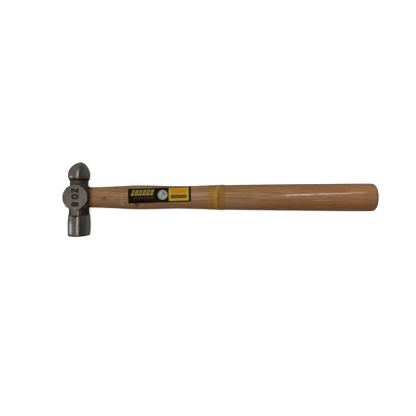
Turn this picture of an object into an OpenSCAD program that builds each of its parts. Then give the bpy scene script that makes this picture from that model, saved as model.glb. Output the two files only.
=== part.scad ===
// Ball peen hammer, half pound class: a forged steel head on an oval hardwood handle, wedged in its eye.
// Millimetres. The hammer lies on its side: +X runs along the handle to the butt, +Y from the eye to the
// ball peen, +Z is up. The origin is the centre of the lower cheek, on the surface that the hammer lies on.

/* [Head] */
// Thickness of the head across its two flat cheeks
cheek_thick = 24; // [23:0.2:26]
// Diameter of the round cheeks
cheek_d = 26.4; // [25.6:0.2:28]
// From the eye's centre to the tip of the ball peen
ball_reach = 37; // [35:0.5:42]
// Diameter of the ball peen
ball_d = 22.2; // [21:0.2:22.8]
// From the eye's centre to the striking face
poll_reach = 40.6; // [38:0.2:46]
// Diameter of the poll at its widest, near the striking face
poll_d = 23; // [22.4:0.2:23.6]
// Bevel that is ground round the striking face
face_bevel = 1.6; // [0.8:0.1:2.4]

/* [Eye and wedges] */
// Length of the oval eye at its waist, along the head
eye_long = 18.6; // [17:0.2:19]
// Width of the oval eye at its waist, across the cheeks
eye_wide = 11.6; // [10:0.2:12]
// How far the eye opens out on each side, from its waist to its mouths
eye_flare = 0.7; // [0.2:0.1:0.8]
// How far the end of the tenon stands out of the eye
tenon_proud = 0.6; // [0.2:0.1:1]
// Thickness of the wooden wedge at its driven end
wood_wedge_thick = 3; // [2:0.2:4]
// Thickness of the steel wedge at its driven end
steel_wedge_thick = 2; // [1.4:0.1:2.4]

/* [Handle] */
// From the head's axis to the butt
handle_reach = 311.5; // [285:0.5:340]
// Greatest width of the grip, along the head
grip_wide = 29.4; // [28:0.2:31]
// Greatest thickness of the grip, across the cheeks
grip_thick = 24; // [22:0.2:24]

/* [Label and tape] */
// Length of the printed label
label_long = 64.6; // [50:0.2:70]
// Height of the printed label, seen from above
label_high = 15.4; // [12:0.2:16]
// How far the label is stuck on askew, in degrees
label_skew = 1.9; // [0:0.1:3]
// Width of the band of clear tape
tape_wide = 18; // [12:0.5:24]

/* [Hidden] */
$fn = 96;

cheek_r = cheek_d / 2;
axis_z = cheek_thick / 2;
cheek_edge = 0.5;     // bevel round each cheek
side_x = cheek_r - 1; // the two faces that the eye opens in
rim_deep = 4.5;       // how deep each cheek keeps its full diameter
waist_x = side_x - 0.5;

// Ball peen: a slightly pointed dome over a short straight band, then an undercut down to the neck
ball_r = ball_d / 2;
ball_high = 13.6;
ball_point = 1.24;    // exponent of the dome: 1 is an ellipse, more comes to a point
ball_y = ball_reach - ball_high;
band = 2.6;
undercut = 3.4;
neck_r = ball_r - 2;

// Poll: flares slightly from its shoulder to the striking face
poll_r = poll_d / 2;
waist_r = poll_r - 1.15;
waist_y = -14.8;
shoulder_y = -18.4;
shoulder_r = poll_r - 0.4;
flare_y = -30;

// Eye, tenon and wedges
fit = 0.05;           // clearance all round the tenon and the wedges
eye_round = 2.6;      // exponent of the eye's superellipse: 2 is an ellipse, more is squarer
wood_deep = 17;
wood_tip = 0.6;
steel_deep = 12;
steel_wide = 9;
steel_tip = 0.4;
driven_x = -side_x - tenon_proud;

// Handle: [distance from the head's axis, width, thickness] at its shoulder, swell, waist and grip
shoulder_x = cheek_r + 0.1;
STATIONS = [
    [shoulder_x, 21.6, 14.2],
    [30, 22.6, 16.2],
    [62, 25.4, 18.6],
    [104, 24.0, 18.4],
    [150, 26.1, 20.4],
    [210, 27.8, 22.4],
    [294, grip_wide, grip_thick],
];
handle_round = 2.2;   // exponent of the handle's superellipse
butt_long = 5.6;      // length over which the butt rounds off
butt_round = 2.4;     // exponent of that rounding
SIDES = 48;

// Label and tape
film = 0.15;          // thickness of the label and of the tape
glue = 0.06;          // their distance from the wood
label_x = 85.5;
label_y = 2.3;
tape_x = 134.6;
tape_slant = 1.6;     // how far the edge towards the head leans, to each side of square

// Weight stamp on the upper cheek
stamp_deep = 0.35;
stamp_high = 6.8;
stamp_line = 1.1;

// ---- Head ----

// Ball, necks and poll, as a profile of [radius, y] points turned round the Y axis
module head_turned() {
    dome = [for (t = [90:-6:0]) [ball_r * pow(cos(t), ball_point), ball_y + ball_high * sin(t)]];
    profile = concat(
        [[0, -poll_reach], [poll_r - face_bevel, -poll_reach], [poll_r, -poll_reach + face_bevel * 1.5],
         [poll_r, flare_y], [shoulder_r, shoulder_y], [waist_r, shoulder_y + 2], [waist_r, waist_y],
         [neck_r, ball_y - band - undercut], [ball_r, ball_y - band]],
        [for (i = [len(dome) - 1:-1:0]) dome[i]]
    );
    rotate([90, 0, 0]) mirror([0, 0, 1]) rotate_extrude() polygon(profile);
}

// The two round cheeks, with a slightly hollow waist between them
module cheeks() {
    upper = [[0, axis_z], [cheek_r - cheek_edge, axis_z], [cheek_r, axis_z - cheek_edge],
             [cheek_r, axis_z - rim_deep], [waist_x, axis_z - rim_deep - 2]];
    lower = [for (i = [len(upper) - 1:-1:0]) [upper[i][0], -upper[i][1]]];
    rotate_extrude() polygon(concat(upper, lower));
}

// The forging round the eye: flat where the eye opens, and narrower towards the two necks
module web() {
    outline = [[side_x, 8], [side_x - 0.6, 10], [neck_r - 1, 13.4]];
    corners = [for (sy = [1, -1]) for (i = [0:2]) let (p = outline[sy > 0 ? 2 - i : i]) [p[0], sy * p[1]]];
    mirrored = [for (i = [len(corners) - 1:-1:0]) [-corners[i][0], corners[i][1]]];
    linear_extrude(12, center = true) polygon(concat(corners, mirrored));
}

// The narrow ridge that runs from each cheek down under the shoulder of the poll
module ridge() {
    foot_y = shoulder_y - 1;
    linear_extrude(2 * shoulder_r - 0.6, center = true)
        polygon([[-9.5, -7], [9.5, -7], [4.6, -12.5], [3.2, foot_y], [-3.2, foot_y], [-4.6, -12.5]]);
}

// A plain weight mark, "8 OZ", that reads along the head from the poll towards the ball
module stamp() {
    loop = (stamp_high + stamp_line) / 4;
    half = stamp_high / 2;
    translate([0, 0, cheek_thick - stamp_deep]) rotate(90) linear_extrude(2 * stamp_deep) {
        for (y = [-1, 1]) translate([-7, y * (half - loop)]) stroke_oval(loop, loop);
        translate([0.7, 0]) stroke_oval(0.7 * half, half);
        translate([6.9, 0]) stroke_z(0.7 * half, half);
    }
}

// An upright oval stroke: two round ends joined by straight sides
module stroke_oval(half_wide, half_high) {
    difference() {
        oval(half_wide, half_high);
        oval(half_wide - stamp_line, half_high - stamp_line);
    }
}

module oval(half_wide, half_high) {
    square([2 * half_wide, 2 * (half_high - half_wide) + 0.01], center = true);
    for (y = [-1, 1]) translate([0, y * (half_high - half_wide)]) circle(half_wide);
}

module stroke_z(w, h) {
    bar = h - stamp_line;
    slant = 1.3 * stamp_line;
    polygon([[-w, h], [w, h], [w, bar], [slant - w, -bar], [w, -bar], [w, -h],
             [-w, -h], [-w, -bar], [w - slant, bar], [-w, bar]]);
}

module hammer_head() {
    color("gray") difference() {
        translate([0, 0, axis_z]) {
            head_turned();
            cheeks();
            web();
            ridge();
        }
        sweep([for (i = [-9:9]) section_eye(i * 1.7)], 0);
        stamp();
    }
}

// ---- Sections and sweeps ----

// A section is [x, half width, half thickness, exponent]; the eye's opens out as the square of x
function section_eye(x) =
    let (open = eye_flare * pow(min(abs(x) / side_x, 1.25), 2))
    [x, eye_long / 2 + open, eye_wide / 2 + open, eye_round];

// Smooth curve (Catmull-Rom) through column c of the handle's stations
function station(i, c) = STATIONS[max(0, min(len(STATIONS) - 1, i))][c];
function curve(a, b, c, d, t) =
    0.5 * (2 * b + (c - a) * t + (2 * a - 5 * b + 4 * c - d) * t * t + (3 * b - a - 3 * c + d) * t * t * t);
function size_at(x, c, i = 0) =
    x >= station(len(STATIONS) - 1, 0) ? station(len(STATIONS) - 1, c)
    : x > station(i + 1, 0) ? size_at(x, c, i + 1)
    : curve(station(i - 1, c), station(i, c), station(i + 1, c), station(i + 2, c),
            (x - station(i, 0)) / (station(i + 1, 0) - station(i, 0)));

// The butt's rounding, from 1 where it starts to 0 at the very end
function butt_share(x) =
    let (u = (x - handle_reach + butt_long) / butt_long)
    u <= 0 ? 1 : pow(max(1 - pow(u, butt_round), 0), 1 / butt_round);

function section_handle(x) =
    let (w = size_at(x, 1) / 2, t = size_at(x, 2) / 2, cut = t * (1 - butt_share(x)))
    [x, w - cut * 0.999, t - cut * 0.999, handle_round];

// A point on a section's superellipse at angle a, moved out by d
function power(v, e) = sign(v) * pow(abs(v), e);
function on_section(s, a, d) =
    [s[0], (s[1] + d) * power(cos(a), 2 / s[3]), axis_z + (s[2] + d) * power(sin(a), 2 / s[3])];

// Closed solid through a list of sections, all moved out by d
module sweep(sections, d) {
    rings = len(sections);
    points = [for (s = sections) for (k = [0:SIDES - 1]) on_section(s, 360 * k / SIDES, d)];
    sides = [for (i = [0:rings - 2]) for (k = [0:SIDES - 1])
        let (a = i * SIDES + k, b = i * SIDES + (k + 1) % SIDES) each
            [[a, b + SIDES, b], [a, a + SIDES, b + SIDES]]];
    start = [[for (k = [0:SIDES - 1]) k]];
    finish = [[for (k = [SIDES - 1:-1:0]) (rings - 1) * SIDES + k]];
    polyhedron(points, concat(sides, start, finish));
}

// ---- Handle and wedges ----

module wedge(deep, tip, thick, wide, grow) {
    rotate([90, 0, 0]) linear_extrude(wide + 2 * grow, center = true)
        polygon([[0, -thick / 2 - grow], [deep + grow, -tip / 2 - grow],
                 [deep + grow, tip / 2 + grow], [0, thick / 2 + grow]]);
}

module wood_wedge_solid(grow) {
    translate([driven_x - grow, 0, axis_z])
        wedge(wood_deep, wood_tip, wood_wedge_thick, eye_long - 1, grow);
}

module steel_wedge_solid(grow) {
    translate([driven_x - grow, 0, axis_z])
        rotate([90, 0, 0]) wedge(steel_deep, steel_tip, steel_wedge_thick, steel_wide, grow);
}

module handle() {
    tenon = [for (i = [0:14]) section_eye(driven_x + (shoulder_x + 0.5 - driven_x) * i / 14)];
    grip_long = handle_reach - butt_long - shoulder_x;
    grip = [for (i = [0:38]) section_handle(shoulder_x + grip_long * i / 38)];
    butt = [for (a = [10:10:90]) section_handle(handle_reach - butt_long + butt_long * sin(a))];
    color("peru") difference() {
        union() {
            sweep(tenon, -fit);
            sweep(concat(grip, butt), 0);
        }
        wood_wedge_solid(fit);
        steel_wedge_solid(fit);
    }
}

module wood_wedge() {
    color("burlywood") difference() {
        wood_wedge_solid(0);
        steel_wedge_solid(fit);
    }
}

module steel_wedge() {
    color("dimgray") steel_wedge_solid(0);
}

// ---- Label and tape ----

// Height of the handle's upper surface at a place seen from above, moved out by d
function top_of_handle(x, y, d) =
    let (s = section_handle(x))
    axis_z + (s[2] + d) * pow(1 - pow(abs(y) / (s[1] + d), s[3]), 1 / s[3]);

module label() {
    across = 12;
    along = 16;
    function place(i, j) =
        let (u = (i / along - 0.5) * label_long, v = (j / across - 0.5) * label_high)
        [label_x + u * cos(label_skew) - v * sin(label_skew),
         label_y + v * cos(label_skew) + u * sin(label_skew)];
    layer = (along + 1) * (across + 1);
    points = [for (d = [glue, glue + film]) for (i = [0:along]) for (j = [0:across])
        let (p = place(i, j)) [p[0], p[1], top_of_handle(p[0], p[1], d)]];
    function at(i, j, side) = side * layer + i * (across + 1) + j;
    faces = [for (i = [0:along - 1]) for (j = [0:across - 1]) each [
        [at(i, j, 0), at(i + 1, j, 0), at(i + 1, j + 1, 0)], [at(i, j, 0), at(i + 1, j + 1, 0), at(i, j + 1, 0)],
        [at(i, j, 1), at(i + 1, j + 1, 1), at(i + 1, j, 1)], [at(i, j, 1), at(i, j + 1, 1), at(i + 1, j + 1, 1)]]];
    edge = concat([for (i = [0:along - 1]) [i, 0]], [for (j = [0:across - 1]) [along, j]],
                  [for (i = [along:-1:1]) [i, across]], [for (j = [across:-1:1]) [0, j]]);
    walls = [for (k = [0:len(edge) - 1])
        let (a = edge[k], b = edge[(k + 1) % len(edge)]) each [
            [at(a[0], a[1], 0), at(b[0], b[1], 1), at(b[0], b[1], 0)],
            [at(a[0], a[1], 0), at(a[0], a[1], 1), at(b[0], b[1], 1)]]];
    color([0.12, 0.11, 0.1]) polyhedron(points, concat(faces, walls));
}

module tape_band() {
    function start(a) = tape_x + tape_slant * cos(a);
    points = [for (k = [0:SIDES - 1]) let (a = 360 * k / SIDES, x = start(a), e = tape_x + tape_wide) each [
        on_section(section_handle(x), a, glue), on_section(section_handle(e), a, glue),
        on_section(section_handle(e), a, glue + film), on_section(section_handle(x), a, glue + film)]];
    faces = [for (k = [0:SIDES - 1]) for (c = [0:3])
        let (n = (k + 1) % SIDES, d = (c + 1) % 4) each
            [[k * 4 + c, n * 4 + d, k * 4 + d], [k * 4 + c, n * 4 + c, n * 4 + d]]];
    color([0.85, 0.6, 0.2]) polyhedron(points, faces);
}

hammer_head();
handle();
wood_wedge();
steel_wedge();
label();
tape_band();
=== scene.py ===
"""A small ball peen hammer lying on its side: forged steel head, wedged hardwood handle, label and tape."""

import bpy
import numpy as np
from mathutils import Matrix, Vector


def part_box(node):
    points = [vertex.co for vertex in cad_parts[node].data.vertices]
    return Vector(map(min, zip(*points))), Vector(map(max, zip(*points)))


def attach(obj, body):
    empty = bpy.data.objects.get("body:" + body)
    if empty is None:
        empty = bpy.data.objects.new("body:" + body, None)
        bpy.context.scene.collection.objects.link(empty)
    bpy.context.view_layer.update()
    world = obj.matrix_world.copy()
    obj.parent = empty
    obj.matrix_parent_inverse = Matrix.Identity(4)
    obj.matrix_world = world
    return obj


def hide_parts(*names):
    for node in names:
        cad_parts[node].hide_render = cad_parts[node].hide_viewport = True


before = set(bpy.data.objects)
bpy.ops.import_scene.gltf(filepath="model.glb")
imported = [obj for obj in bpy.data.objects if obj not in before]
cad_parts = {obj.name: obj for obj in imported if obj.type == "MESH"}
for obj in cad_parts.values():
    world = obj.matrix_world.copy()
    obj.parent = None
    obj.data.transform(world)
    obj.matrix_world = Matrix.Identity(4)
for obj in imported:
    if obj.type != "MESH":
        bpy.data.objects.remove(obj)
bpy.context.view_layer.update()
MM = 0.001


# The hammer head. One carbon steel forging: a ball peen and a round poll turned on a lathe, two necks that
# still carry black forge scale, and a flat ground cheek on each side of the oval eye. One cheek is stamped.

head_low, head_high = (np.array(corner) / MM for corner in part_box("hammer_head"))
CHEEK_Z = (head_high[2] - head_low[2]) / 2
AXIS_Z = head_low[2] + CHEEK_Z
CHEEK_R = head_high[0]
DRESSED_BACK = 2.6
RIDGE_HALF, RIDGE_AT_CHEEK, RIDGE_FLARE, RIDGE_DIP = 5.1, 8.9, 1.0, 0.7
SIDE_AT_NECK, SIDE_AT_EYE = (5.5, 4.5), (12.2, 7.4)
POLL_R, POLL_Y = 11.5, head_low[1]
POLL_TAPER = 0.45
FACE_DROP = 0.2
BEVEL_WIDE, BEVEL_DEEP = 1.6, 2.0
SHOULDER_R, SHOULDER_Y = POLL_R - POLL_TAPER, -18.6
BEND_DEEP, BEND_HALF = 1.7, 5.4
WAIST_R = 10.2
NECK_R, NECK_END = 9.25, 17.2
BALL_R, BALL_HIGH = 11.1, 13.6
BALL_Y = head_high[1] - BALL_HIGH
BAND_LONG, BAND_EASE = 2.9, 0.25
BALL_LEAN = 1.8
BALL_PIT = (3.6, 31.5)
STAMP_DEEP = 0.35


def smooth(low, high, x):
    """0 below low, 1 above high, and 3t^2 - 2t^3 between, where t is how far x has come."""
    t = np.clip((x - low) / (high - low), 0, 1)
    return t * t * (3 - 2 * t)


def blend_out(a, b, fillet):
    """The larger of a and b, plus (1 - gap / fillet)^2 * fillet / 4 where they are nearer than fillet."""
    near = np.clip(1 - np.abs(a - b) / fillet, 0, 1)
    return np.maximum(a, b) + near * near * fillet / 4


def round_box(angle, half_x, half_z, power):
    """Distance from the axis to |x / half_x|^power + |z / half_z|^power = 1, in the direction of angle."""
    c, s = np.abs(np.cos(angle)) / half_x, np.abs(np.sin(angle)) / half_z
    return (c**power + s**power) ** (-1 / power)


def turned_profile():
    """Radius and y down the axis, from the middle of the striking face to the tip of the ball.

    Face: nearly flat, falling back by 0.2 (r / R)^4. Bevel: a quarter of a superellipse. Poll: straight, with
    a slight taper to each end. Neck: a smooth step from the waist's radius to its own. Ball: an undercut, a
    nearly straight band, and a dome, where r = R cos(a)^1.24 and y rises by its height times sin(a).
    """
    face_r = POLL_R - BEVEL_WIDE
    t = np.linspace(0, 1, 12)
    face = np.stack([face_r * t, POLL_Y + FACE_DROP * t**4], 1)
    a = np.linspace(0, np.pi / 2, 14)[1:]
    bevel_y = POLL_Y + FACE_DROP + BEVEL_DEEP * (1 - np.cos(a) ** 0.9)
    bevel = np.stack([face_r + BEVEL_WIDE * np.sin(a) ** 0.9, bevel_y], 1)
    y = np.linspace(bevel[-1, 1], SHOULDER_Y, 76)[1:]
    poll = np.stack([POLL_R - POLL_TAPER * smooth(-27, SHOULDER_Y, y) - 0.15 * smooth(-31, -37, y), y], 1)
    y = np.linspace(SHOULDER_Y, NECK_END, 152)[1:]
    neck = np.stack([WAIST_R + (NECK_R - WAIST_R) * smooth(-12, 12, y), y], 1)
    band_r, band_y = BALL_R - BAND_EASE, BALL_Y - BAND_LONG
    t = np.linspace(0, 1, 18)[1:]
    undercut = np.stack([NECK_R + (band_r - NECK_R) * t**0.8, NECK_END + (band_y - NECK_END) * t**1.3], 1)
    t = np.linspace(0, 1, 14)[1:]
    band = np.stack([BALL_R - BAND_EASE * (1 - t) ** 3, band_y + BAND_LONG * t], 1)
    a = np.linspace(0, np.pi / 2, 60)[1:]
    dome = np.stack([BALL_R * np.cos(a) ** 1.24, BALL_Y + BALL_HIGH * np.sin(a)], 1)
    dome[-1, 0] = 0
    return np.concatenate([face, bevel, poll, neck, undercut, band, dome])


def head_angles(count):
    """Angles round the axis, evenly spaced at first, then drawn towards the two cheeks."""
    a = np.arange(count) * 2 * np.pi / count
    return a + 0.16 * np.sin(2 * a)


def unbent_y(x, y):
    """y, plus 1.7 (1 - (x / 5.4)^2) near the ridge, where the poll's shoulder bends away from the eye."""
    return y + BEND_DEEP * (1 - np.clip(x / BEND_HALF, -1, 1) ** 2)


def head_surface(profile, angle):
    """Radius at each station and angle: the turned radius, with cheeks, ridges and sides blended on.

    Shoulder: a smooth step from the waist's radius to the poll's, along the unbent y. Cheeks: a box as wide
    as the circle's chord at y, eased where that ends, and as thick as the head, with a softened edge. Beside
    the ridge, on the handle's side, the circle is dressed back. Ridge: a box that narrows from the cheek's
    width, then dips into a groove where the shoulder starts. Sides: a box out to the eye's two mouths.
    """
    y, a = profile[:, 1][:, None], angle[None, :]
    turned = profile[:, 0][:, None] + 0 * a
    along = unbent_y(WAIST_R * np.cos(a), y)
    on_poll = smooth(-16.9, -18.7, along)
    start, full = np.where(y < SHOULDER_Y, WAIST_R, turned), np.where(y < SHOULDER_Y, turned, SHOULDER_R)
    turned = start + (full - start) * on_poll
    room = (CHEEK_R**2 - y**2) / 2
    chord = np.sqrt(room + np.sqrt(room**2 + 5.0**2))
    chord = chord - DRESSED_BACK * np.exp(-(((y + 11) / 2.5) ** 2)) * smooth(0, 0.5, np.cos(a))
    fade = smooth(15.2, 12.9, np.abs(y))
    cheek = round_box(a, chord, CHEEK_Z * (0.72 + 0.28 * fade), 26)
    widened = (RIDGE_AT_CHEEK - RIDGE_HALF) * smooth(-14.0, -10.2, y)
    ridge_x = RIDGE_HALF + widened + RIDGE_FLARE * smooth(-16, -18.4, y)
    ridge_z = (CHEEK_Z - RIDGE_DIP * smooth(-11, -14.5, y)) * smooth(-18.8, -17.2, along) * smooth(2, -2, y)
    ridge = round_box(a, ridge_x, ridge_z + 0.1, 5)
    near_eye = smooth(13.4, 9.6, np.abs(y))
    side_x, side_z = (low + (high - low) * near_eye for low, high in zip(SIDE_AT_NECK, SIDE_AT_EYE))
    side = round_box(a, side_x, side_z, 7)
    cheek = cheek * np.where(np.abs(y) < 17, 1, 0)
    radius = blend_out(turned, side, 1.5)
    radius = blend_out(radius, ridge, 1.2)
    radius = blend_out(radius, cheek, 1.6)
    return np.where(np.abs(y) < 19, radius, turned)


def stamp_share(x, y):
    """How deep the stamp "8 OZ" is at a place on the upper cheek, as a share of its full depth.

    Each stroke is a bar or a loop. The share is 1 near a stroke's middle and falls to 0 at its edge. The mark
    reads along +y, with the tops of its figures towards -x. line is half a stroke's width, and high is half a
    figure's height.
    """
    line, high = 0.66, 3.6
    u, v = y, -x
    figure_8, letter_o, letter_z = -7.0, 0.7, 6.9

    def loop(cu, cv, half_u, half_v):
        straight = max(half_v - half_u, 0)
        dv = np.abs(v - cv) - straight
        return np.abs(np.hypot(u - cu, np.maximum(dv, 0)) - (half_u - line))

    def bar(u0, v0, u1, v1):
        du, dv = u1 - u0, v1 - v0
        t = np.clip(((u - u0) * du + (v - v0) * dv) / (du * du + dv * dv), 0, 1)
        return np.hypot(u - u0 - t * du, v - v0 - t * dv)

    small = (high + line) / 2
    wide, top = 2.35, high - line
    left, right = letter_z - wide + line, letter_z + wide - line
    away = np.minimum.reduce(
        [
            loop(figure_8, high - small, small, small),
            loop(figure_8, small - high, small, small),
            loop(letter_o, 0, wide, high),
            bar(left, top, right, top),
            bar(left, -top, right, -top),
            bar(right, top, left, -top),
        ]
    )
    return smooth(line + 0.12, line - 0.18, away)


def mesh_of(name, points, wrap=True, ends=(True, True)):
    """An object from a grid of points [row, column]: quads between neighbours, joined round where it wraps.

    Where ends says so, the first or last row is closed by triangles to its middle. "ring" joins the last row
    to the first instead.
    """
    rows, cols = points.shape[:2]
    at = np.arange(rows * cols).reshape(rows, cols)
    if ends == "ring":
        at, ends = np.concatenate([at, at[:1]]), (False, False)
    nxt = np.roll(at, -1, 1) if wrap else at[:, 1:]
    cur = at if wrap else at[:, :-1]
    quads = np.stack([cur[:-1], nxt[:-1], nxt[1:], cur[1:]], -1).reshape(-1, 4)
    vertices = points.reshape(-1, 3)
    triangles = np.empty((0, 3), int)
    for closed, row, flip in ((ends[0], 0, True), (ends[1], -1, False)):
        if not closed:
            continue
        middle = len(vertices)
        vertices = np.concatenate([vertices, points[row].mean(0)[None]])
        pair = (nxt[row], cur[row]) if flip else (cur[row], nxt[row])
        fan = np.stack([*pair, np.full(cols, middle)], -1)
        triangles = np.concatenate([triangles, fan])
    return object_of(name, vertices, quads, triangles)


def object_of(name, vertices, quads, triangles):
    """A smooth-shaded mesh object, in metres, from arrays in millimetres."""
    mesh = bpy.data.meshes.new(name)
    corners = np.concatenate([quads.ravel(), triangles.ravel()]).astype(np.int32)
    sizes = np.concatenate([np.full(len(quads), 4), np.full(len(triangles), 3)]).astype(np.int32)
    mesh.vertices.add(len(vertices))
    mesh.loops.add(len(corners))
    mesh.polygons.add(len(sizes))
    mesh.vertices.foreach_set("co", (np.asarray(vertices, np.float32) * MM).ravel())
    mesh.loops.foreach_set("vertex_index", corners)
    mesh.polygons.foreach_set("loop_start", np.concatenate([[0], np.cumsum(sizes)[:-1]]).astype(np.int32))
    mesh.polygons.foreach_set("use_smooth", np.ones(len(sizes), bool))
    mesh.update(calc_edges=True)
    mesh.validate()
    thing = bpy.data.objects.new(name, mesh)
    bpy.context.scene.collection.objects.link(thing)
    return thing


def paint(thing, name, values):
    """Stores one number for each vertex as an attribute that a material can read."""
    layer = thing.data.attributes.new(name, "FLOAT", "POINT")
    layer.data.foreach_set("value", np.asarray(values, np.float32).ravel())


def cut(thing, cutter):
    """Takes the cutter's solid out of the thing's, for good."""
    tool = thing.modifiers.new("cut", "BOOLEAN")
    tool.operation, tool.solver, tool.object = "DIFFERENCE", "EXACT", cutter
    bpy.context.view_layer.update()
    seen = thing.evaluated_get(bpy.context.evaluated_depsgraph_get())
    result = bpy.data.meshes.new_from_object(seen)
    thing.modifiers.clear()
    thing.data = result
    bpy.data.objects.remove(cutter)


def superellipse(x, half_w, half_t, power, count=96, grow=0.0):
    """Points [row, column] of |y / w|^n + |z / t|^n = 1 at each x: w cos^(2/n), t sin^(2/n) of the angle."""
    a = np.arange(count) * 2 * np.pi / count
    c, s = np.cos(a)[None], np.sin(a)[None]
    power = np.broadcast_to(power, np.shape(x))[:, None]
    y = (half_w[:, None] + grow) * np.sign(c) * np.abs(c) ** (2 / power)
    z = (half_t[:, None] + grow) * np.sign(s) * np.abs(s) ** (2 / power) + AXIS_Z
    return np.stack([np.broadcast_to(x[:, None], y.shape), y, z], -1)


EYE_LONG, EYE_WIDE, EYE_FLARE, EYE_ROUND = 18.6, 11.6, 0.7, 2.6
SIDE_X = CHEEK_R - 1


def eye_sizes(x):
    """Half length and half width of the eye: its waist's, plus the flare times (x / side)^2."""
    flare = EYE_FLARE * np.minimum(np.abs(x) / SIDE_X, 1.25) ** 2
    return EYE_LONG / 2 + flare, EYE_WIDE / 2 + flare


profile = turned_profile()
angle = head_angles(256)
radius = head_surface(profile[1:-1], angle)
y = np.broadcast_to(profile[1:-1, 1][:, None], radius.shape)
x, z = radius * np.cos(angle), radius * np.sin(angle)
x = x + BALL_LEAN * np.clip((y - BALL_Y) / BALL_HIGH, 0, 1) ** 3
knocked = smooth(-35, POLL_Y, y) * smooth(2, POLL_R, x)
x, y = x - 0.5 * knocked, y + 0.3 * knocked * smooth(-33, -39, y)
stamp = stamp_share(x, y)
ink = smooth(0.05, 0.3, stamp) * (z > CHEEK_Z - 0.6)
limit = CHEEK_Z - STAMP_DEEP * stamp
z = np.clip(z, -CHEEK_Z, limit)
grid = np.stack([x, y, z + AXIS_Z], -1)


def convexity(grid):
    """How sharply the surface bulges at each point, in 1/mm: its second differences along the normal."""
    along, round_it = np.gradient(grid, axis=0), (np.roll(grid, -1, 1) - np.roll(grid, 1, 1)) / 2
    normal = np.cross(round_it, along)
    normal /= np.linalg.norm(normal, axis=-1, keepdims=True) + 1e-9
    bend_round = np.roll(grid, -1, 1) - 2 * grid + np.roll(grid, 1, 1)
    bend_along = np.zeros_like(grid)
    bend_along[1:-1] = grid[2:] - 2 * grid[1:-1] + grid[:-2]
    amount = 0
    for bend, step in ((bend_round, round_it), (bend_along, along)):
        amount = amount - (bend * normal).sum(-1) / ((step * step).sum(-1) + 1e-4)
    return amount


# Lathe marks stand off the poll and, more faintly, the ball. What is painted on: black scale between poll and
# ball, edges rubbed bright, a painted highlight along the ridge's top, painted shade in the hollows, the
# neck's groove, the cheek's step, the poll's shoulder and beside the ridge, and paint left in the stamp.
bulge = convexity(grid)
steps = np.random.default_rng(7).normal(0, 0.03, len(y))
tool_marks = np.convolve(steps, [0.2, 0.6, 0.2], "same")[:, None]
on_poll = smooth(-19.5, -21, y) * smooth(-39.5, -38, y)
on_ball = smooth(20.5, 21.5, y) * smooth(35, 32, y)
tool_marks = tool_marks * (on_poll + 0.12 * on_ball)
grid[..., 0] += tool_marks * np.cos(angle)
grid[..., 2] += tool_marks * np.sin(angle)
on_ridge = smooth(6.2, 5.0, np.abs(x)) * smooth(8.6, 9.8, np.abs(z)) * smooth(-8, -10, y)
# A painted highlight along the middle of the ridge's top, stored together with the worn edges.
ridge_highlight = on_ridge * smooth(4.0, 0.5, np.abs(x)) * smooth(-17.6, -16.6, y)
wear_and_ridge_highlight = np.maximum(smooth(0.3, 1.3, bulge) * (1 - 0.7 * on_ridge), 0.85 * ridge_highlight)
# Painted shade beside the ridge, in the neck's groove, at the cheek's step, along the poll's shoulder and in
# every hollow.
beside_ridge_shade = smooth(4.9, 5.8, np.abs(x)) * smooth(-9.5, -11.5, y) * smooth(-18.9, -17.6, y)
neck_groove_shade = np.exp(-(((y - 18.4) / 1.3) ** 2))
cheek_step_shadow = 0.6 * np.exp(-(((y - 13.7) / 0.45) ** 2)) * smooth(8.5, 7.0, np.abs(x))
shoulder_lip_shade = np.exp(-(((unbent_y(x, y) + 17.5) / 0.5) ** 2)) * smooth(7.5, 6.0, np.abs(x)) * (y < -15)
hollow = smooth(-0.1, -0.7, bulge)
rings = 0.9 * (neck_groove_shade + cheek_step_shadow)
painted_shade = np.maximum.reduce([hollow, 0.75 * beside_ridge_shade, rings, 0.6 * shoulder_lip_shade])
off_cheek = smooth(0.25, 1.1, CHEEK_Z - np.abs(z)) * (1 - on_ridge)
forge_scale = off_cheek * smooth(-18.3, -17.2, y) * smooth(20.6, 19.6, y)
head = mesh_of("hammer_head_forging", grid[::-1])
for name, values in {"scale": forge_scale, "edge": wear_and_ridge_highlight, "hollow": painted_shade, "ink": ink}.items():
    paint(head, name, [*values[::-1].ravel(), 0, 0])
eye_x = np.linspace(-CHEEK_R - 2, CHEEK_R + 2, 25)
cut(head, mesh_of("eye", superellipse(eye_x, *eye_sizes(eye_x), EYE_ROUND)))


class Wire:
    """A shader socket that can be reckoned with: each operator adds the Math node that works it out."""

    def __init__(self, nodes, socket):
        self.nodes, self.socket = nodes, socket

    def math(self, operation, *terms):
        return self.nodes.add("ShaderNodeMath", {"operation": operation}, dict(enumerate(terms)))

    def __add__(self, other):
        return self.math("ADD", self, other)

    def __sub__(self, other):
        return self.math("SUBTRACT", self, other)

    def __rsub__(self, other):
        return self.math("SUBTRACT", other, self)

    def __mul__(self, other):
        return self.math("MULTIPLY", self, other)

    def __truediv__(self, other):
        return self.math("DIVIDE", self, other)

    def __gt__(self, other):
        return self.math("GREATER_THAN", self, other)

    def __lt__(self, other):
        return self.math("LESS_THAN", self, other)

    __radd__, __rmul__ = __add__, __mul__

    def least(self, other):
        return self.math("MINIMUM", self, other)

    def most(self, other):
        return self.math("MAXIMUM", self, other)

    def size(self):
        return self.math("ABSOLUTE", self)

    def root(self):
        return self.math("SQRT", self)

    def past_whole(self):
        """What is left over the whole number below, so that it saws from 0 to 1."""
        return self.math("FRACT", self)

    def ramp(self, low, high, start=0.0, end=1.0):
        """Rises smoothly from start at low to end at high."""
        values = {0: self, 1: low, 2: high, 3: start, 4: end}
        return self.nodes.add("ShaderNodeMapRange", {"interpolation_type": "SMOOTHSTEP"}, values)


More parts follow.
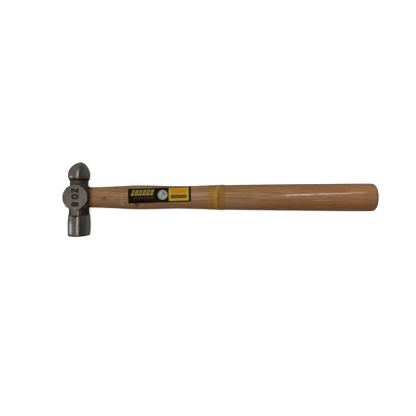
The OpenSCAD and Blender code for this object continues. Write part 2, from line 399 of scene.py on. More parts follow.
class Nodes:
    """The node tree of a material or a world under construction: its shader, and the nodes in front of it."""

    def __init__(self, owner, shader="Principled BSDF"):
        owner.use_nodes = True
        self.owner, self.tree = owner, owner.node_tree
        self.shader = self.tree.nodes[shader]

    def add(self, kind, settings=None, values=None, out=0):
        """Adds a node, sets it up, fills its sockets with numbers or Wires, and returns one output."""
        node = self.tree.nodes.new(kind)
        for name, value in (settings or {}).items():
            setattr(node, name, value)
        for name, value in (values or {}).items():
            self.fill(node.inputs[name], value)
        return Wire(self, node.outputs[out])

    def fill(self, socket, value):
        if isinstance(value, Wire):
            self.tree.links.new(value.socket, socket)
        else:
            socket.default_value = value

    def set(self, **values):
        """Fills the shader's own sockets; an underscore stands for a space. Returns the material or world."""
        for name, value in values.items():
            self.fill(self.shader.inputs[name.replace("_", " ")], value)
        return self.owner

    def parts(self, vector):
        split = self.add("ShaderNodeSeparateXYZ", None, {0: vector})
        return [Wire(self, socket) for socket in split.socket.node.outputs]

    def mix(self, share, first, second):
        return self.add("ShaderNodeMix", {"data_type": "RGBA"}, {0: share, 6: first, 7: second}, out=2)

    def grey(self, level, green=1.0, blue=1.0):
        """A colour whose red is level, and whose green and blue are shares of it."""
        return self.add("ShaderNodeCombineColor", None, {0: level, 1: level * green, 2: level * blue})


class Finish(Nodes):
    """A piece's material, with patterns laid out in millimetres on Object coordinates."""

    def __init__(self, name):
        super().__init__(bpy.data.materials.new(name))
        self.mm = self.mapped(self.add("ShaderNodeTexCoord", out="Object"), scale=(1 / MM,) * 3)

    def mapped(self, vector, scale, move=(0, 0, 0)):
        return self.add("ShaderNodeMapping", None, {"Vector": vector, "Location": move, "Scale": scale})

    def noise(self, scale, stretch=(1, 1, 1), detail=3.0, rough=0.5, warp=0.0, move=(0, 0, 0)):
        """Cloudy noise, 0 to 1. scale is in cycles a millimetre, and stretch multiplies it on each axis."""
        place = self.mapped(self.mm, scale=stretch, move=move)
        values = {"Vector": place, "Scale": scale, "Detail": detail, "Roughness": rough, "Distortion": warp}
        return self.add("ShaderNodeTexNoise", None, values)

    def upper(self):
        """1 on the side that lies uppermost, 0 on the other."""
        return self.parts(self.mm)[2] > AXIS_Z

    def painted(self, name):
        return self.add("ShaderNodeAttribute", {"attribute_name": name}, out="Fac")

    def relief(self, height, depth_mm, under=None):
        """A Bump node: height 1 stands depth_mm above height 0."""
        values = {"Strength": 1.0, "Distance": depth_mm * MM, "Height": height}
        if under:
            values["Normal"] = under
        return self.add("ShaderNodeBump", None, values)


def colour(red, green, blue):
    return (red, green, blue, 1.0)


def forged_steel():
    """Satin steel: rings and lengthwise lines from turning and grinding, black scale, worn bright edges, a
    painted highlight along the ridge, and painted shade in the hollows.
    """
    f = Finish("forged_steel")
    x, y, z = f.parts(f.mm)
    cloud = f.noise(0.11, detail=4.0, rough=0.6, warp=0.4)
    mottle = f.noise(0.8, detail=5.0, rough=0.65)
    rings = f.noise(1.0, stretch=(0.05, 5.0, 0.05), detail=3.0, rough=0.7)
    ground = f.noise(1.0, stretch=(5.0, 0.12, 1.0), detail=3.0, rough=0.7)
    lengthwise = f.noise(0.75, stretch=(1.0, 0.03, 1.0), detail=3.0, rough=0.7, move=(1.7, 0, 0.4))
    on_cheek = ((z - AXIS_Z).size() - CHEEK_Z).size().ramp(0.5, 0.1)
    off_cheek = 1 - on_cheek
    lines = ground * on_cheek + rings * off_cheek

    bare = f.mix(cloud.ramp(0.3, 0.75), colour(0.37, 0.34, 0.30), colour(0.46, 0.43, 0.385))
    bare = f.mix(lines.ramp(0.35, 0.7) * 0.30, bare, colour(0.22, 0.195, 0.165))
    bare = f.mix(lengthwise.ramp(0.42, 0.62) * off_cheek * 0.55, bare, colour(0.20, 0.175, 0.145))
    tarnish = f.noise(0.16, detail=3.0, move=(3.1, 0.4, 2.0)).ramp(0.45, 0.66)
    bare = f.mix(tarnish * (0.25 + 0.45 * on_cheek), bare, colour(0.25, 0.24, 0.175))
    spots = mottle.ramp(0.60, 0.72) * cloud.ramp(0.35, 0.6)
    bare = f.mix(spots * 0.55, bare, colour(0.12, 0.095, 0.07))
    pit_x, pit_y = x - BALL_PIT[0], y - BALL_PIT[1]
    pit = (pit_x * pit_x + pit_y * pit_y).ramp(1.3, 0.3) * f.upper()
    bare = f.mix(pit * 0.8, bare, colour(0.06, 0.045, 0.035))

    ragged = f.painted("scale") + (mottle - 0.5) * 0.5 + (cloud - 0.5) * 0.3
    black = ragged.ramp(0.35, 0.75)
    scale_colour = f.mix(mottle.ramp(0.35, 0.7), colour(0.075, 0.068, 0.060), colour(0.17, 0.155, 0.135))
    skin = f.mix(black, bare, scale_colour)
    # Worn bright edges, with a painted highlight along the ridge's top.
    worn = (f.painted("edge") + (mottle - 0.5) * 0.6).ramp(0.45, 0.95)
    skin = f.mix(worn * 0.6, skin, colour(0.58, 0.55, 0.51))
    # Painted shade in hollows, grooves and beside the ridge: nearly black, and rougher.
    shade_in_hollows = f.painted("hollow").ramp(0.2, 0.9)
    skin = f.mix(shade_in_hollows * 0.75, skin, colour(0.035, 0.028, 0.022))
    filled = f.painted("ink").ramp(0.35, 0.7)
    skin = f.mix(filled, skin, colour(0.006, 0.005, 0.004))

    dull = (0.16 + 0.08 * cloud + 0.08 * mottle) + black * 0.20 + on_cheek * 0.08 + filled * 0.4 + shade_in_hollows * 0.2
    pits = f.relief(mottle, 0.015)
    turned = f.relief(lines, 0.012, under=pits)
    scaly = f.noise(1.7, detail=6.0, rough=0.7) * black
    return f.set(
        Base_Color=skin,
        Metallic=(1 - filled) * (1 - black * 0.25),
        Roughness=dull,
        Normal=f.relief(scaly, 0.06, under=turned),
    )


head.data.materials.clear()
head.data.materials.append(forged_steel())
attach(head, "root")
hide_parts("hammer_head")


# The handle. One turned and shaved length of pale hardwood, oval in section: a tenon fills the eye, the neck
# swells, narrows to a waist and grows into the grip. It is finished in clear varnish, and has a saw kerf.

handle_low, handle_high = (np.array(corner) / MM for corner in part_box("handle"))
DRIVEN_X, BUTT_X = handle_low[0], handle_high[0]
SHOULDER_X = CHEEK_R + 0.1
# Places along the handle, with its width and thickness there.
STATIONS = np.array(
    [
        [SHOULDER_X, 21.6, 14.2],
        [30, 22.6, 16.2],
        [62, 25.4, 18.6],
        [104, 24.0, 18.4],
        [150, 26.1, 20.4],
        [210, 27.8, 22.4],
        [294, handle_high[1] - handle_low[1], handle_high[2] - handle_low[2]],
    ]
)
HANDLE_ROUND = 2.2
BUTT_LONG, BUTT_ROUND = 5.6, 2.4
FIT = 0.05
TENON_EASE, TENON_EASE_LONG = 0.35, 0.9
# Places of marks on the upper side, along the handle and across it.
KNOT, BRUISE, SMEAR = (28.5, -0.5), (272, 6.5), (121.5, 9.5)
GUM_X, VEE_X = 46.8, 61.9


def through_stations(x, column):
    """A smooth curve through the stations: between b and c, with a before them and d after, a cubic in t.

    It leaves b with the slope from a to c, and arrives at c with the slope from b to d.
    """
    places, sizes = STATIONS[:, 0], STATIONS[:, column]
    last = len(places) - 1
    i = np.clip(np.searchsorted(places, x, "right") - 1, 0, last - 1)
    t = np.clip((x - places[i]) / (places[i + 1] - places[i]), 0, 1)
    a, b, c, d = (sizes[np.clip(i + k, 0, last)] for k in (-1, 0, 1, 2))
    return 0.5 * (2 * b + (c - a) * t + (2 * a - 5 * b + 4 * c - d) * t**2 + (3 * b - a - 3 * c + d) * t**3)


def handle_sizes(x):
    """Half width and half thickness at x. Over the butt both lose the same, by a superellipse in x.

    The last section keeps a thousandth of its thickness, so that it still has a middle to close on.
    """
    w, t = through_stations(x, 1) / 2, through_stations(x, 2) / 2
    u = np.clip((x - BUTT_X + BUTT_LONG) / BUTT_LONG, 0, 1)
    lost = t * (1 - (1 - u**BUTT_ROUND) ** (1 / BUTT_ROUND)) * 0.999
    return w - lost, t - lost


# The tenon follows the eye, FIT inside it, and its end has a rounded edge.
tenon_x = np.linspace(DRIVEN_X, SHOULDER_X - 0.02, 30)
grip_x = np.linspace(SHOULDER_X, BUTT_X - BUTT_LONG, 240)
butt_x = BUTT_X - BUTT_LONG * (1 - np.sin(np.linspace(0, np.pi / 2, 26)[1:]))
tenon_w, tenon_t = eye_sizes(tenon_x)
to_edge = 1 - np.clip((tenon_x - DRIVEN_X) / TENON_EASE_LONG, 0, 1)
inside = FIT + TENON_EASE * (1 - np.sqrt(1 - to_edge**2))
tenon = superellipse(tenon_x, tenon_w - inside, tenon_t - inside, EYE_ROUND, 144)
held_x = np.concatenate([grip_x, butt_x])
held = superellipse(held_x, *handle_sizes(held_x), HANDLE_ROUND, 144)
handle = mesh_of("hardwood_handle", np.concatenate([tenon, held]))


def kerf_wedge(deep, tip, thick, wide, grow=0.0, across=False):
    """Corners of a wedge driven towards +x: its section tapers evenly from thick to tip, and is wide along y.

    One driven across it is wide along z instead.
    """
    x = np.array([0.0, deep + grow])
    half = np.array([thick, tip]) / 2 + grow
    y = np.array([-1, 1, 1, -1]) * (wide / 2 + grow)
    z = np.array([-1, -1, 1, 1])[None] * half[:, None]
    corners = np.stack([np.broadcast_to(x[:, None], z.shape), np.broadcast_to(y, z.shape), z], -1)
    return corners[..., [0, 2, 1]][:, ::-1] if across else corners


WOOD_WEDGE = {"deep": 17, "tip": 0.6, "thick": 3.0, "wide": EYE_LONG - 1}
STEEL_WEDGE = {"deep": 12, "tip": 0.4, "thick": 2.0, "wide": 9.0, "across": True}
KERF_START = 0.3
to_eye = np.array([DRIVEN_X - KERF_START, 0, AXIS_Z])
cut(handle, mesh_of("kerf", kerf_wedge(**WOOD_WEDGE, grow=FIT) + to_eye))
cut(handle, mesh_of("slot", kerf_wedge(**STEEL_WEDGE, grow=FIT) + to_eye))


def varnished_wood():
    """Straight-grained hardwood under varnish: growth lines, streaks, dark pores, a knot and a V mark, with
    painted shade on the lower side, beside the head and round the butt.
    """
    f = Finish("varnished_wood")
    x, y, z = f.parts(f.mm)
    upper = f.upper()
    sway = f.noise(0.03, stretch=(0.35, 1.2, 1.2), detail=2.0) - 0.5
    lean = f.noise(0.02, stretch=(0.25, 2, 2), detail=1.0, move=(4, 1, 7)) - 0.5
    rise = y + z * 0.45 + x * 0.022 + sway * 3.5 + lean * 7
    ring = (rise * 0.42).past_whole()
    late = ring.ramp(0.35, 0.95) * ring.ramp(1.0, 0.94)
    streaks = f.noise(0.75, stretch=(0.022, 1, 1), detail=5.0, rough=0.65)
    fibres = f.noise(2.2, stretch=(0.03, 1, 1), detail=3.0, rough=0.7)
    patches = f.noise(0.03, stretch=(0.6, 1.6, 1.6), detail=3.0, move=(2, 5, 1))
    pores = f.noise(1.0, stretch=(0.075, 1, 1), detail=3.0, rough=0.6, move=(9, 0, 3)).ramp(0.60, 0.70)
    flecks = f.noise(1.0, stretch=(0.05, 1.0, 0.7), detail=3.0, move=(5, 2, 8)).ramp(0.58, 0.70)

    wood = f.mix(streaks.ramp(0.36, 0.64), colour(0.25, 0.112, 0.036), colour(0.51, 0.290, 0.118))
    wood = f.mix(late * 0.42, wood, colour(0.21, 0.09, 0.033))
    wood = f.mix(patches.ramp(0.45, 0.7) * 0.35, wood, colour(0.40, 0.19, 0.075))
    wood = f.mix(fibres.ramp(0.45, 0.75) * 0.38, wood, colour(0.20, 0.09, 0.034))
    # Redder and darker towards the butt, plus painted shade on the lower side and the underside.
    butt_tone_and_lower_shade = x.ramp(130, 250) * 0.60 + ((AXIS_Z - z) * 0.3 - y).ramp(-6, 8) * 0.55
    wood = f.mix(butt_tone_and_lower_shade, wood, colour(0.24, 0.095, 0.032))
    wood = f.mix(flecks * 0.30, wood, colour(0.60, 0.38, 0.20))
    wood = f.mix(pores * (0.35 + x.ramp(120, 260) * 0.35), wood, colour(0.085, 0.036, 0.014))

    def from_mark(place, length_share):
        """Squared distance from a mark's middle, with its length along the handle shrunk to that share."""
        along, across = (x - place[0]) * length_share, y - place[1]
        return along * along + across * across

    away = from_mark(KNOT, 0.8) + (streaks - 0.5) * 1.2
    knot = (away.ramp(4.5, 0.8) * 0.45).most(away.ramp(1.7, 0.3) * 0.9)
    wood = f.mix(knot * upper, wood, colour(0.07, 0.026, 0.010))
    arm = (x - VEE_X).size() * 1.15 - y - 9.5
    vee = arm.ramp(0.7, 0.0) * (0.75 + 0.25 * arm.ramp(-1.2, -0.4)) * y.ramp(-6.2, -7.0) * upper
    wood = f.mix(vee * 0.9, wood, colour(0.045, 0.020, 0.008))
    stain = x.ramp(34, 18) * (y + 7.4 + (streaks - 0.5) * 2).size().ramp(2.4, 0.8) * upper
    wood = f.mix(stain * 0.65, wood, colour(0.33, 0.12, 0.022))
    bruise = (from_mark(BRUISE, 0.4) + fibres * 2).ramp(4.5, 1.0) * upper
    wood = f.mix(bruise * 0.3, wood, colour(0.13, 0.06, 0.028))

    gum = (x - GUM_X + (fibres - 0.5) * 3).size().ramp(2.2, 0.6)
    gum = gum * (y.size() < 8) * streaks.ramp(0.3, 0.6) * upper
    gum_colour = f.mix(y.ramp(2, 4), colour(0.55, 0.42, 0.29), colour(0.46, 0.34, 0.07))
    wood = f.mix(gum * 0.35, wood, gum_colour)
    smear = (from_mark(SMEAR, 0.5) + streaks * 3).ramp(5.5, 1.5) * upper
    wood = f.mix(smear * 0.3, wood, colour(0.42, 0.36, 0.07))

    end_grain = (SHOULDER_X - 0.4 - x).ramp(0, 0.5)
    wood = f.mix(end_grain * 0.45, wood, colour(0.20, 0.10, 0.05))
    # Painted shadow of the head on the wood just past the shoulder.
    wood = f.mix((x - SHOULDER_X).ramp(4.5, 0.2) * 0.65, wood, colour(0.10, 0.035, 0.012))
    # Painted shade on the rounded butt, broken up along the fibres.
    butt_rim_shade = (x - BUTT_X + 5.4).ramp(0, 2.4) * (0.35 + 0.6 * fibres)
    wood = f.mix(butt_rim_shade, wood, colour(0.045, 0.032, 0.024))
    grain = f.relief(late * 0.4 + fibres * 0.4 - pores * 1.2, 0.03)
    shaving = f.noise(0.16, stretch=(0.35, 1, 1), detail=2.0)
    return f.set(
        Base_Color=wood,
        Roughness=0.45 + 0.15 * streaks + pores * 0.1,
        Normal=f.relief(shaving, 0.07, under=grain),
        Specular_IOR_Level=0.3,
        Coat_Weight=(0.25 + 0.75 * fibres.ramp(0.42, 0.60) * (1 - pores)) * (1 - end_grain),
        Coat_Roughness=0.13,
    )


handle.data.materials.clear()
handle.data.materials.append(varnished_wood())
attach(handle, "root")
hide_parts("handle")


# The two wedges. A hardwood wedge fills the saw kerf and spreads the tenon, and a plain steel one is driven
# across it. Both are hammered in from the end and left almost flush.

WEDGE_PROUD, WEDGE_EASE = 0.12, 0.16


def wedge_piece(name, corners, slot=None):
    """A wedge with its edges eased, from its corners. slot holds the corners of what is driven across it."""
    piece = mesh_of(name, corners + [DRIVEN_X - WEDGE_PROUD, 0, AXIS_Z])
    if slot is not None:
        cut(piece, mesh_of("slot", slot + to_eye))
    piece.data.polygons.foreach_set("use_smooth", np.zeros(len(piece.data.polygons), bool))
    ease = piece.modifiers.new("eased", "BEVEL")
    ease.width, ease.segments, ease.limit_method = WEDGE_EASE * MM, 3, "ANGLE"
    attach(piece, "root")
    return piece


def wedge_wood():
    """Pale wedge wood: fine grain running into the eye, bruised darker where it was struck."""
    f = Finish("wedge_wood")
    grain = f.noise(2.2, stretch=(0.08, 1, 1), detail=4.0, rough=0.65)
    bruise = f.noise(0.5, detail=3.0).ramp(0.4, 0.7)
    wood = f.mix(grain.ramp(0.3, 0.7), colour(0.34, 0.20, 0.10), colour(0.55, 0.37, 0.21))
    wood = f.mix(bruise * 0.5, wood, colour(0.16, 0.09, 0.05))
    return f.set(Base_Color=wood, Roughness=0.6 + 0.2 * grain, Normal=f.relief(grain, 0.06))


def wedge_steel():
    """Mild steel, dull grey with a little rust, pitted by the hammer."""
    f = Finish("wedge_steel")
    blows = f.noise(0.9, detail=3.0)
    rust = f.noise(0.7, detail=5.0, rough=0.7, move=(2, 2, 2)).ramp(0.52, 0.68)
    steel = f.mix(blows.ramp(0.35, 0.7), colour(0.16, 0.15, 0.14), colour(0.34, 0.33, 0.31))
    steel = f.mix(rust * 0.7, steel, colour(0.20, 0.085, 0.035))
    return f.set(
        Base_Color=steel,
        Metallic=1 - rust * 0.8,
        Roughness=0.4 + rust * 0.35,
        Normal=f.relief(blows, 0.12),
    )


steel_slot = kerf_wedge(**STEEL_WEDGE, grow=FIT)
wood_wedge = wedge_piece("kerf_wedge_wood", kerf_wedge(**WOOD_WEDGE), slot=steel_slot)
wood_wedge.data.materials.append(wedge_wood())
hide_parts("wood_wedge")
steel_wedge = wedge_piece("cross_wedge_steel", kerf_wedge(**STEEL_WEDGE))
steel_wedge.data.materials.append(wedge_steel())
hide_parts("steel_wedge")


# The label. Thin printed film stuck a little askew on the handle's upper side: a black ground with a row of
# slanted yellow blocks, a dashed dull-red line, a silver badge with a mallet, and a yellow panel.

LABEL_LONG, LABEL_HIGH, LABEL_SKEW = 64.6, 15.4, np.radians(1.9)
LABEL_X, LABEL_Y = 85.5, 2.3
GLUE, FILM = 0.06, 0.15
# Rectangles of the print, in millimetres from the label's lower left corner: left, low, right, high.
DASHES = (5.4, 4.6, 26.6, 6.7)
PANEL, PANEL_BAR, PANEL_FOOT = (41.8, 1.5, 62.2, 14.7), (44.0, 8.7, 60.2, 13.4), (43.8, 4.0, 60.1, 7.5)
RULES, TICKS = (44.8, 9.3, 59.2, 12.7), (45.0, 5.1, 59.0, 6.4)
# The row of slanted blocks: its ends, its foot and top, and the step from one block to the next.
ROW_LEFT, ROW_RIGHT, ROW_LOW, ROW_HIGH, ROW_STEP = 3.0, 26.2, 8.2, 13.7, 3.9
BADGE_U, BADGE_V, BADGE_R = 35.6, 8.0, 4.95


def top_of_handle(x, y, grow):
    """Height of the handle's upper side: the superellipse solved for z, with both half sizes grown."""
    w, t = handle_sizes(x)
    return AXIS_Z + (t + grow) * (1 - (np.abs(y) / (w + grow)) ** HANDLE_ROUND) ** (1 / HANDLE_ROUND)


def label_sheet():
    """The film as a flat loop at each step of u: over the top from v = 1 to 0, and back along the underside.

    Two corners lift off the wood: the one at u = 1, v = 1 by up to 0.5, and the one at u = 0, v = 0 by 0.25.
    """
    steps = np.linspace(0, 1, 25)
    u = np.linspace(0, 1, 97)[:, None]
    v = np.concatenate([steps[::-1], steps])[None]
    grow = np.concatenate([np.full(25, GLUE + FILM), np.full(25, GLUE)])[None]
    long_way, high_way = (u - 0.5) * LABEL_LONG, (v - 0.5) * LABEL_HIGH
    x = LABEL_X + long_way * np.cos(LABEL_SKEW) - high_way * np.sin(LABEL_SKEW)
    y = LABEL_Y + high_way * np.cos(LABEL_SKEW) + long_way * np.sin(LABEL_SKEW)
    lifted = 0.5 * smooth(0.94, 1.03, u) * smooth(0.80, 1.02, v)
    lifted = lifted + 0.25 * smooth(0.03, -0.03, u) * smooth(0.2, 0, v)
    z = top_of_handle(x, y, grow) + lifted
    sheet = mesh_of("printed_label", np.stack([x, y, z], -1))
    us, vs = np.broadcast_to(u, x.shape).ravel(), np.broadcast_to(v, x.shape).ravel()
    uv = np.stack([np.append(us, [0, 1]), np.append(vs, [0.5, 0.5])], -1)
    corners = np.empty(len(sheet.data.loops), np.int32)
    sheet.data.loops.foreach_get("vertex_index", corners)
    sheet.data.uv_layers.new(name="print").data.foreach_set("uv", uv[corners].astype(np.float32).ravel())
    return sheet


def printed_film():
    """The print, laid out in millimetres from the label's lower left corner. Each shape is a mask, 0 to 1."""
    f = Finish("printed_film")
    u, v, _ = f.parts(f.add("ShaderNodeUVMap", {"uv_map": "print"}))
    u, v = u * LABEL_LONG, v * LABEL_HIGH
    rough_edge = (f.noise(2.2, detail=4.0, rough=0.7) - 0.5) * 0.25
    u, v = u + rough_edge * 0.5, v + rough_edge * 0.5

    def within(value, low, high):
        return value.ramp(low - 0.09, low + 0.09) * value.ramp(high + 0.09, high - 0.09)

    def block(left, low, right, high):
        return within(u, left, right) * within(v, low, high)

    def disc(cu, cv, radius):
        du, dv = u - cu, v - cv
        return (du * du + dv * dv).root().ramp(radius + 0.1, radius - 0.1)

    faded = f.noise(0.3, detail=4.0).ramp(0.3, 0.8)
    ground = f.mix(faded, colour(0.004, 0.003, 0.002), colour(0.012, 0.009, 0.007))
    yellow, orange = colour(0.62, 0.41, 0.028), colour(0.70, 0.285, 0.010)

    slant = u - (v - 8.0) * 0.30
    step = (slant - ROW_LEFT) / ROW_STEP
    in_step = step.past_whole()
    wide = (step * 0.5).past_whole() > 0.5
    row = within(v, ROW_LOW, ROW_HIGH) * within(slant, ROW_LEFT, ROW_RIGHT) * in_step.ramp(0.78, 0.70)
    notch = in_step.ramp(0.24, 0.32) * in_step.ramp(0.56, 0.48) * within(v, 9.4, 12.4 - 1.4 * wide)
    row = row * (1 - notch * 0.85)
    film = f.mix(row * 0.85, ground, colour(0.40, 0.31, 0.045))
    film = f.mix(row * v.ramp(10.2, 8.6) * 0.6, film, colour(0.60, 0.50, 0.20))
    dash = (u * 0.62).past_whole()
    line = block(*DASHES) * dash.ramp(0.72, 0.62) * dash.ramp(0.02, 0.1)
    film = f.mix(line * 0.75, film, colour(0.17, 0.022, 0.016))

    dulled = f.noise(0.9, detail=4.0).ramp(0.35, 0.7)
    silver = f.mix(dulled, colour(0.34, 0.33, 0.29), colour(0.62, 0.62, 0.58))
    film = f.mix(disc(BADGE_U, BADGE_V, BADGE_R), film, silver)
    ring = disc(BADGE_U, BADGE_V, 4.3) * (1 - disc(BADGE_U, BADGE_V, 3.95))
    du, dv, cos_45 = u - BADGE_U, v - BADGE_V, 0.707
    along, across = (du + dv) * cos_45, (dv - du) * cos_45
    shaft = within(along, -2.7, 1.4) * within(across, -0.36, 0.36)
    mallet = within(along, 0.8, 2.5) * within(across, -1.75, 1.75)
    film = f.mix(ring.most(shaft).most(mallet) * 0.8, film, colour(0.07, 0.065, 0.05))

    film = f.mix(block(*PANEL), film, yellow)
    film = f.mix(block(*PANEL_BAR), film, orange)
    rules = (v * 0.75).past_whole().ramp(0.42, 0.5) * block(*RULES)
    film = f.mix(rules * 0.22, film, colour(0.50, 0.10, 0.01))
    film = f.mix(block(*PANEL_FOOT), film, colour(0.075, 0.050, 0.016))
    ticks = (u * 0.9).past_whole().ramp(0.3, 0.4) * block(*TICKS)
    film = f.mix(ticks * 0.55, film, colour(0.40, 0.28, 0.05))

    scuffs = f.noise(0.8, stretch=(0.4, 1.6, 1), detail=6.0, rough=0.75).ramp(0.63, 0.70)
    rim = u.least(LABEL_LONG - u).least(v.least(LABEL_HIGH - v))
    worn = (rim + (f.noise(1.1, detail=5.0) - 0.5) * 1.4).ramp(0.45, 0.0)
    film = f.mix(worn * 0.45 + scuffs * 0.14, film, colour(0.34, 0.29, 0.23))
    wrinkle = f.noise(0.35, stretch=(0.5, 1.5, 1), detail=3.0)
    return f.set(
        Base_Color=film,
        Roughness=0.34 + scuffs * 0.25 + worn * 0.2,
        Specular_IOR_Level=0.05,
        Normal=f.relief(wrinkle, 0.10),
    )


label = label_sheet()
label.data.materials.append(printed_film())
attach(label, "root")
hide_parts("label")


# The tape. A turn of broad clear adhesive tape, yellowed and dirty at its edges, wound on a little askew. A
# second, rucked layer covers its half towards the butt, and there it is deeper in colour.

TAPE_X, TAPE_WIDE, TAPE_SLANT = 134.6, 18.0, 1.6
LAP_X = 145.0
HALF_WIDE = 13


def tape_turn():
    """A flat loop of the tape's section at each angle round the handle, in a closed ring.

    The edge towards the head is at x = TAPE_X + TAPE_SLANT cos(a), with small waves. The second layer is 0.1
    higher and starts with a ridge, and its rucks stand off it by 0.05 (1 + sin(19 a + 1.3 x)).
    """
    turn = np.linspace(0, 2 * np.pi, 193)[:-1][:, None]
    start = TAPE_X + TAPE_SLANT * np.cos(turn) + 0.12 * np.sin(turn * 23) + 0.08 * np.sin(turn * 41 + 1)
    end = TAPE_X + TAPE_WIDE + 0.12 * np.sin(turn * 17 + 2) + 0.08 * np.sin(turn * 37)
    steps = np.linspace(0, 1, 49)
    across = np.concatenate([steps, steps[::-1]])[None]
    outer = np.concatenate([np.ones(49), np.zeros(49)])[None]
    x = start + (end - start) * across
    lap = LAP_X + 0.5 * np.sin(turn * 3 + 1) + 0.2 * np.sin(turn * 11)
    layer = 0.10 * smooth(0, 0.5, x - lap)
    ridge = 0.16 * np.exp(-(((x - lap - 0.5) / 0.5) ** 2)) * (0.6 + 0.4 * np.sin(turn * 9))
    rucks = 0.05 * (1 + np.sin(turn * 19 + x * 1.3)) * smooth(0, 1.5, x - lap) * smooth(0, 1.2, end - x)
    grow = GLUE + FILM * outer + layer + ridge + rucks
    w, t = handle_sizes(x)
    c, s = np.cos(turn), np.sin(turn)
    y = (w + grow) * np.sign(c) * np.abs(c) ** (2 / HANDLE_ROUND)
    z = AXIS_Z + (t + grow) * np.sign(s) * np.abs(s) ** (2 / HANDLE_ROUND)
    return mesh_of("tape_turn", np.stack([x, y, z], -1), ends="ring")


def yellowed_tape():
    """Clear film gone amber, deeper at its edges and second layer, with a grey line where that one starts,
    which pales into a painted highlight on the upper side.
    """
    f = Finish("yellowed_tape")
    x, y, _ = f.parts(f.mm)
    from_start = x - TAPE_X
    blotch = f.noise(0.22, detail=4.0, rough=0.6)
    fine = f.noise(1.1, stretch=(1.0, 0.5, 0.5), detail=4.0, rough=0.7)
    lap = x - LAP_X + (blotch - 0.5) * 1.5
    double = lap.ramp(0, 0.8)
    seam = lap.ramp(-1.0, 0.2) * lap.ramp(3.2, 1.2) * fine.ramp(0.35, 0.6)
    first_edge = (from_start - y * (TAPE_SLANT / HALF_WIDE)).ramp(1.6, 0.1)
    edge = first_edge.most(from_start.ramp(TAPE_WIDE - 1.1, TAPE_WIDE))
    amber = f.mix(blotch.ramp(0.3, 0.7), colour(0.50, 0.235, 0.020), colour(0.74, 0.42, 0.055))
    amber = f.mix(double * 0.8, amber, colour(0.50, 0.20, 0.030))
    # The seam is dark low down and pale on the upper side; the pale part is a painted highlight.
    seam_tone_and_highlight = f.mix(y.ramp(4, 11), colour(0.13, 0.105, 0.035), colour(0.46, 0.42, 0.26))
    amber = f.mix(seam * 0.85, amber, seam_tone_and_highlight)
    amber = f.mix(edge * 0.25, amber, colour(0.36, 0.15, 0.015))
    rim = y.size().ramp(8.8, 12.6)
    cover = 0.10 + 0.32 * blotch + from_start.ramp(0, 8) * 0.14 + rim * 0.16
    cover = cover + seam * 0.28 + double * (fine - 0.35) * 0.5
    cover = cover * (from_start + TAPE_SLANT).ramp(0, 6, 0.35, 0.95)
    return f.set(
        Base_Color=amber,
        Roughness=0.26 + 0.3 * fine * double + 0.12 * blotch,
        Alpha=cover.least(0.95),
        Normal=f.relief(f.noise(0.5, stretch=(2.2, 0.6, 0.6), detail=3.0), 0.12),
    )


tape = tape_turn()
tape.data.materials.append(yellowed_tape())
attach(tape, "root")
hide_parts("tape_band")


# The stage: a pale floor just under the hammer, a dim sky, four soft lamps and a camera straight above. The
# camera sees floor and sky paler than the light that they throw on the hammer.

FLOOR_HALF, FLOOR_Z = 9, -2e-5
floor_finish = Nodes(bpy.data.materials.new("pale_floor"))
floor_mesh = bpy.data.meshes.new("floor")
floor_corners = [(FLOOR_HALF * i, FLOOR_HALF * j, FLOOR_Z) for i, j in ((-1, -1), (1, -1), (1, 1), (-1, 1))]
floor_mesh.from_pydata(floor_corners, [], [(0, 1, 2, 3)])
floor = bpy.data.objects.new("floor", floor_mesh)
bpy.context.scene.collection.objects.link(floor)
seen = floor_finish.add("ShaderNodeLightPath", out="Is Camera Ray")
mirrored = floor_finish.add("ShaderNodeLightPath", out="Is Glossy Ray")
floor_mesh.materials.append(
    floor_finish.set(
        Base_Color=floor_finish.mix(seen, colour(0.16, 0.16, 0.16), colour(0.85, 0.85, 0.85)),
        Roughness=1.0,
        Specular_IOR_Level=0.0,
        Emission_Color=floor_finish.grey((seen * 0.80).most(mirrored * 0.12)),
        Emission_Strength=1.0,
    )
)

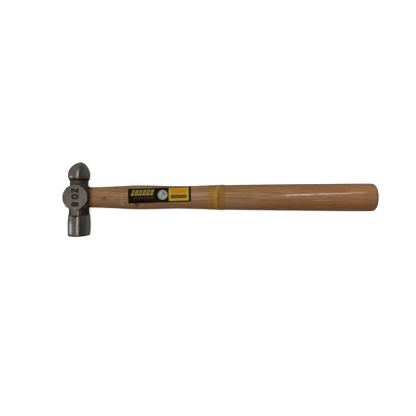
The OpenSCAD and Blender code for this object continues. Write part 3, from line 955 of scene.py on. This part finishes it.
room = Nodes(bpy.data.worlds.new("studio"), "Background")
bpy.context.scene.world = room.owner
ray = room.add("ShaderNodeLightPath", out="Is Camera Ray")
east, north, _ = room.parts(room.add("ShaderNodeTexCoord", out="Generated"))
glow = east.ramp(0.05, 0.42, 0.30, 0.07) + east.ramp(0.5, 0.95, 0, 0.07) + 0.06 * north
room.set(Color=room.mix(ray, room.grey(glow, 0.96, 0.88), colour(0.96, 0.96, 0.96)))


def lamp(name, place, aim, size, watts, turn=0.0, spread=180.0, mirrored=True):
    """A rectangular soft lamp, in millimetres, that faces its aim and is turned on its own axis, in degrees.

    A grid narrows its light to the spread, in degrees. Where it isn't mirrored, gloss doesn't show it.
    """
    light = bpy.data.lights.new(name, "AREA")
    light.shape, light.size, light.size_y = "RECTANGLE", size[0] * MM, size[1] * MM
    light.energy, light.spread = watts, np.radians(spread)
    thing = bpy.data.objects.new(name, light)
    thing.location = Vector(place) * MM
    thing.rotation_euler = (Vector(aim) - Vector(place)).to_track_quat("-Z", "Y").to_euler()
    thing.rotation_euler.rotate_axis("Z", np.radians(turn))
    thing.visible_camera, thing.visible_glossy = False, mirrored
    bpy.context.scene.collection.objects.link(thing)


lamp("lamp_over_head", (46, 130, 660), (46, 130, 12), (62, 820), 0.48, turn=-9)
lamp("lamp_over_grip", (316, 62, 200), (316, 62, 12), (150, 20), 0.048, turn=26, spread=96)
lamp("window_left", (-700, -120, 220), (0, -120, 12), (120, 460), 0.29)
lamp("lamp_fill", (150, 150, 700), (150, 0, 12), (560, 420), 1.88, mirrored=False)

# The camera stands 355 above the head's axis and takes in 436.8 there. It stands aside from the middle of the
# view, towards the ball, and its lens is shifted back by as much.
CAMERA_HIGH, VIEW_WIDE, CAMERA_ASIDE = 355, 436.8, 16
VIEW_X, VIEW_Y = 135.2, -11.2
camera_data = bpy.data.cameras.new("camera")
camera_data.lens = camera_data.sensor_width * CAMERA_HIGH / VIEW_WIDE
camera_data.shift_y = -CAMERA_ASIDE / VIEW_WIDE
camera_data.clip_start, camera_data.clip_end = 0.01, 50
camera = bpy.data.objects.new("camera", camera_data)
camera.location = Vector((VIEW_X, VIEW_Y + CAMERA_ASIDE, AXIS_Z + CAMERA_HIGH)) * MM
bpy.context.scene.collection.objects.link(camera)
bpy.context.scene.camera = camera
bpy.context.scene.view_settings.view_transform = "Standard"
